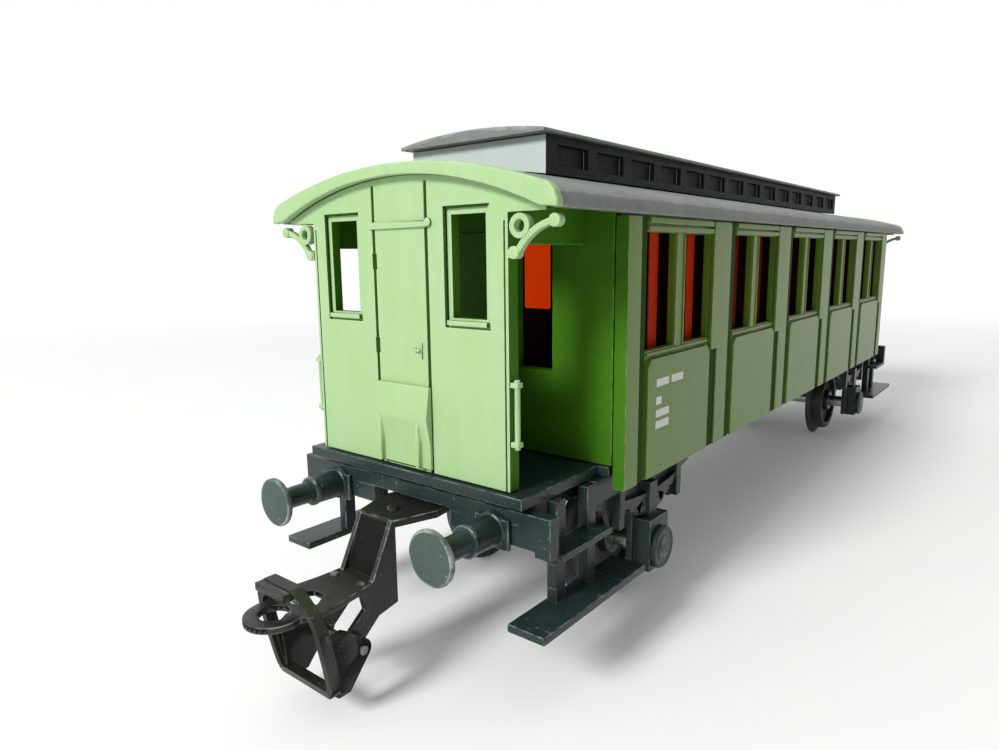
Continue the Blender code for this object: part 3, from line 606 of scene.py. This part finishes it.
def buffers():
    """Base plate, ribbed housing, plunger and a flat head with a rolled edge."""
    for node in sorted(name for name in nodes if name.startswith("buffer_") and "beam" not in name):
        x, y, z = limits(node)
        end = 1 if middle(y) > 0 else -1
        root = min(abs(y[0]), abs(y[1]))
        reach = max(abs(y[0]), abs(y[1])) - root
        head = (x[1] - x[0]) / 2
        axis_z = z[1] - head
        housing = [(0.1, 0), (0.1, 1.12), (0.42, 1.1), (0.5, 0.99), (2.35, 0.95), (2.45, 1.02),
                   (2.68, 1.02), (2.76, 0.92), (2.8, 0.78), (3.0, 0.74)]
        plunger = [(reach - 0.95, 0.72), (reach - 0.7, 0.8), (reach - 0.5, 1.1)]
        rolled = [(reach - 0.38, head - 0.12), (reach - 0.32, head - 0.03), (reach - 0.2, head),
                  (reach - 0.1, head - 0.01), (reach - 0.03, head - 0.06), (reach - 0.005, head - 0.16),
                  (reach, 0)]
        profile = [(end * (root + a), r) for a, r in housing + plunger + rolled]
        bm = bmesh.new()
        spun(bm, profile, "Y", (middle(x), 0, axis_z), 96)
        head_back = root + reach - 0.4
        colour_faces(bm, lambda centre, normal: abs(centre.y) > head_back)
        piece(node + "_turned", bm, ("chassis", "buffer head"), "root", (node,), 35)
        plate = bmesh.new()
        plate_x = (middle(x) - 1.3, middle(x) + 1.3)
        bar(plate, plate_x, outward(end, root, root + 0.3), (axis_z - 1.12, axis_z + 0.8))
        ease(plate, 0.08)
        piece(node.replace("buffer", "buffer_plate"), plate, ("chassis",), "root")


# ---- small fittings ----
def window_fittings():
    """Sill ledges in two steps, and a fine bead up each side of each pane."""
    for side, hand in SIDES:
        sheet = wall_face(hand) - SHEET_RECESS
        ledges = bmesh.new()
        beads = bmesh.new()
        for bay in BAY_MIDDLES:
            for depth, z in ((0.16, (19.93, 20.14)), (0.05, (19.74, 19.86))):
                bar(ledges, outward(side, sheet - 0.1, sheet + depth), (bay - 5.0, bay + 5.0), z)
            for offset in PANE_STARTS:
                start = bay + offset
                end = start + PANE_WIDTH
                x = outward(side, sheet - 0.1, sheet + 0.09)
                bar(beads, x, (start - 0.16, start - 0.02), PANE_HEIGHT)
                bar(beads, x, (end + 0.02, end + 0.16), PANE_HEIGHT)
        for bm in (ledges, beads):
            ease(bm, 0.025, segments=1)
        piece("sill_ledges_" + hand, ledges, ("wall green",), "root")
        piece("window_beads_" + hand, beads, ("wall green",), "root")


def groove_shades_and_stiles():
    """Dark bars of painted shade set in the groove beside each pillar, and the far stile of each window,
    which is flush with its pillar.
    """
    for side, hand in SIDES:
        face = wall_face(hand)
        foot, top = limits("side_wall_" + hand)[2]
        groove_shade_bars = bmesh.new()
        stiles = bmesh.new()
        for bay in BAY_MIDDLES:
            near = sorted((bay - side * 6.5, bay - side * 5.5))
            far = sorted((bay + side * 5.12, bay + side * 6.5))
            stile = sorted((bay + side * 5.32, bay + side * 6.55))
            groove_shade_x = outward(side, face - 0.5, face - 0.13)
            bar(groove_shade_bars, groove_shade_x, near, (foot + 0.02, top - 0.05))
            bar(groove_shade_bars, groove_shade_x, far, (foot + 0.02, 19.2))
            bar(stiles, outward(side, face - 0.5, face), stile, (19.25, top - 0.02))
        ease(stiles, 0.05)
        piece("wall_groove_shades_" + hand, groove_shade_bars, ("painted groove shade",), "root")
        piece("window_stiles_" + hand, stiles, ("wall green",), "root")


def end_shade_lines():
    """Painted shade: narrow dark bars in the recesses beside each end wall's door and at its corners, and
    along one side and the top of each window pocket.
    """
    for end, name in ENDS:
        bm = bmesh.new()
        for hand in (-1, 1):
            door_depth = outward(end, END_FACE - 0.05, END_FACE - 0.44)
            corner_depth = outward(end, END_FACE - 0.03, END_FACE - 0.14)
            bar(bm, outward(hand, 2.25, 2.49), door_depth, (13.1, 31.05))
            bar(bm, outward(hand, 8.37, 8.47), corner_depth, (13.1, 28.5))
        pocket_depth = outward(end, END_FACE - 0.05, END_FACE - 0.215)
        for left, right in ((-7.38, -3.8), (3.8, 7.38)):
            bar(bm, outward(-end, left, left + 0.15), pocket_depth, (22.5, 29.58))
            bar(bm, outward(-end, left, right - 0.3), pocket_depth, (29.45, 29.58))
        piece("end_shade_lines_" + name, bm, ("painted groove shade",), "root")


def porch_headers():
    """The beam under the roof along each open side of a porch, from the end wall to the bulkhead."""
    for end, name in ENDS:
        for side, hand in SIDES:
            bm = bmesh.new()
            bar(bm, outward(side, 8.05, 8.6), outward(end, 38.6, 45.6), (27.3, 29.6))
            ease(bm, 0.06)
            piece(f"porch_header_{name}_{hand}", bm, ("porch green and painted shade",), "root")


def side_marking():
    """Plain short bars low on one bay of each side."""
    rows = [(18.0, (0.0, 1.9)), (18.0, (2.3, 4.2)), (16.75, (0.0, 0.8)), (15.85, (0.0, 2.0)),
            (15.05, (0.0, 2.0))]
    half_height = 0.27
    first = -34.3
    for side, hand in SIDES:
        face = wall_face(hand)
        bars = bmesh.new()
        for z, (start, end) in rows:
            x = outward(side, face - 0.05, face + 0.02)
            bar(bars, x, outward(side, first + start, first + end), (z - half_height, z + half_height))
        piece("marking_bars_" + hand, bars, ("marking",), "root")


def coupler_bosses():
    """Moulding bosses on the tail plate and beside the eye, on each coupler."""
    for end, name in ENDS:
        bm = bmesh.new()
        tail = [(-0.05, 0), (-0.05, 0.42), (0.1, 0.4), (0.14, 0.34), (0.14, 0)]
        spun(bm, tail, "Z", (0, end * 47.9, 10.5), 32)
        beside_eye = [(-0.05, 0), (-0.05, 0.3), (0.1, 0.28), (0.14, 0.22), (0.14, 0)]
        for x in (-1.25, 1.25):
            spun(bm, beside_eye, "Z", (x, end * 51.9, 7.08), 24)
        body = nodes["coupler_arm_" + name]["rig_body"]
        piece("coupler_bosses_" + name, bm, ("coupler",), body, sharp=35)


# ---- floor, light and camera ----
def floor():
    """A pale card that turns into an even white some way out from the coach."""
    bm = bmesh.new()
    bmesh.ops.create_circle(bm, cap_ends=True, segments=96, radius=1.5,
                            matrix=Matrix.Translation((0.0, 0.0, -0.02 * MM)))
    mesh = bpy.data.meshes.new("floor")
    bm.to_mesh(mesh)
    bm.free()
    made = bpy.data.objects.new("floor", mesh)
    bpy.context.scene.collection.objects.link(made)
    pale = bpy.data.materials.new("Floor")
    pale.use_nodes = True
    tree = pale.node_tree
    tree.nodes.remove(tree.nodes["Principled BSDF"])
    place = new_node(tree, "ShaderNodeTexCoord").outputs["Object"]
    length = new_node(tree, "ShaderNodeVectorMath", operation="LENGTH")
    feed(tree, length.inputs[0], place)
    far = remap(tree, length.outputs["Value"], 0.10, 0.26, 0.10, 1.0)
    card = new_node(tree, "ShaderNodeBsdfDiffuse")
    mottle = remap(tree, noise(tree, place, 60.0), 0.35, 0.65)
    tint = blend(tree, mottle, (0.905, 0.925, 0.895, 1), (0.92, 0.935, 0.905, 1))
    feed(tree, card.inputs["Color"], tint)
    white = new_node(tree, "ShaderNodeEmission")
    mixed = new_node(tree, "ShaderNodeMixShader")
    feed(tree, mixed.inputs[0], far)
    feed(tree, mixed.inputs[1], card.outputs[0])
    feed(tree, mixed.inputs[2], white.outputs[0])
    feed(tree, tree.nodes["Material Output"].inputs["Surface"], mixed.outputs[0])
    mesh.materials.append(pale)


def studio():
    """A pale room, brighter overhead and on the coach's left, and a large soft light ahead of the front."""
    world = bpy.data.worlds.new("Studio")
    bpy.context.scene.world = world
    world.use_nodes = True
    tree = world.node_tree
    sky = tree.nodes["Background"]
    sky.inputs["Color"].default_value = (1.0, 1.0, 1.0, 1.0)
    way = new_node(tree, "ShaderNodeSeparateXYZ")
    feed(tree, way.inputs[0], new_node(tree, "ShaderNodeTexCoord").outputs["Generated"])
    across = remap(tree, way.outputs["X"], -0.1, 0.8, 1.0, 0.34)
    above = remap(tree, way.outputs["Z"], 0.0, 0.9, 0.26, 0.86)
    shining = math_node(tree, "MULTIPLY", across, above)
    mirrored = remap(tree, way.outputs["X"], 0.2, 0.5, 1.0, 0.45)
    path = new_node(tree, "ShaderNodeLightPath")
    room = remap(tree, path.outputs["Is Diffuse Ray"], 0.0, 1.0, mirrored, shining)
    feed(tree, sky.inputs["Strength"], math_node(tree, "MAXIMUM", path.outputs["Is Camera Ray"], room))
    lamp = bpy.data.lights.new("key", "AREA")
    lamp.shape = "DISK"
    lamp.size = 0.17
    lamp.energy = 3.6
    key = bpy.data.objects.new("key", lamp)
    bpy.context.scene.collection.objects.link(key)
    toward = Vector((-0.07, -0.85, 0.55)).normalized()
    aim = Vector((0.0, -30 * MM, 15 * MM))
    distance = 0.6
    key.location = aim + toward * distance
    key.rotation_euler = toward.to_track_quat("Z", "Y").to_euler()


def camera():
    """Stands close ahead of the front right corner, a little below the eaves, looking down the coach."""
    yaw, pitch, roll = radians(39.05), radians(9.76), radians(-0.709)
    stand = Vector((32.87, -77.23, 26.73)) * MM
    forward = Vector((-sin(yaw) * cos(pitch), cos(yaw) * cos(pitch), -sin(pitch)))
    level = Vector((cos(yaw), sin(yaw), 0.0))
    upright = level.cross(forward)
    right = level * cos(roll) + upright * sin(roll)
    up = upright * cos(roll) - level * sin(roll)
    lens = bpy.data.cameras.new("camera")
    lens.sensor_width = 36.0
    lens.lens = 25.146
    lens.clip_start = 0.001
    made = bpy.data.objects.new("camera", lens)
    bpy.context.scene.collection.objects.link(made)
    turn = Matrix((right, up, -forward)).transposed().to_4x4()
    made.matrix_world = Matrix.Translation(stand) @ turn
    bpy.context.scene.camera = made


mouldings()
side_walls()
end_walls()
couplers()
seats()
clerestory()
wheels()
axles()
axlebox_covers()
buffers()
window_fittings()
groove_shades_and_stiles()
end_shade_lines()
porch_headers()
side_marking()
coupler_bosses()
floor()
studio()
camera()
bpy.context.scene.view_settings.view_transform = "Standard"
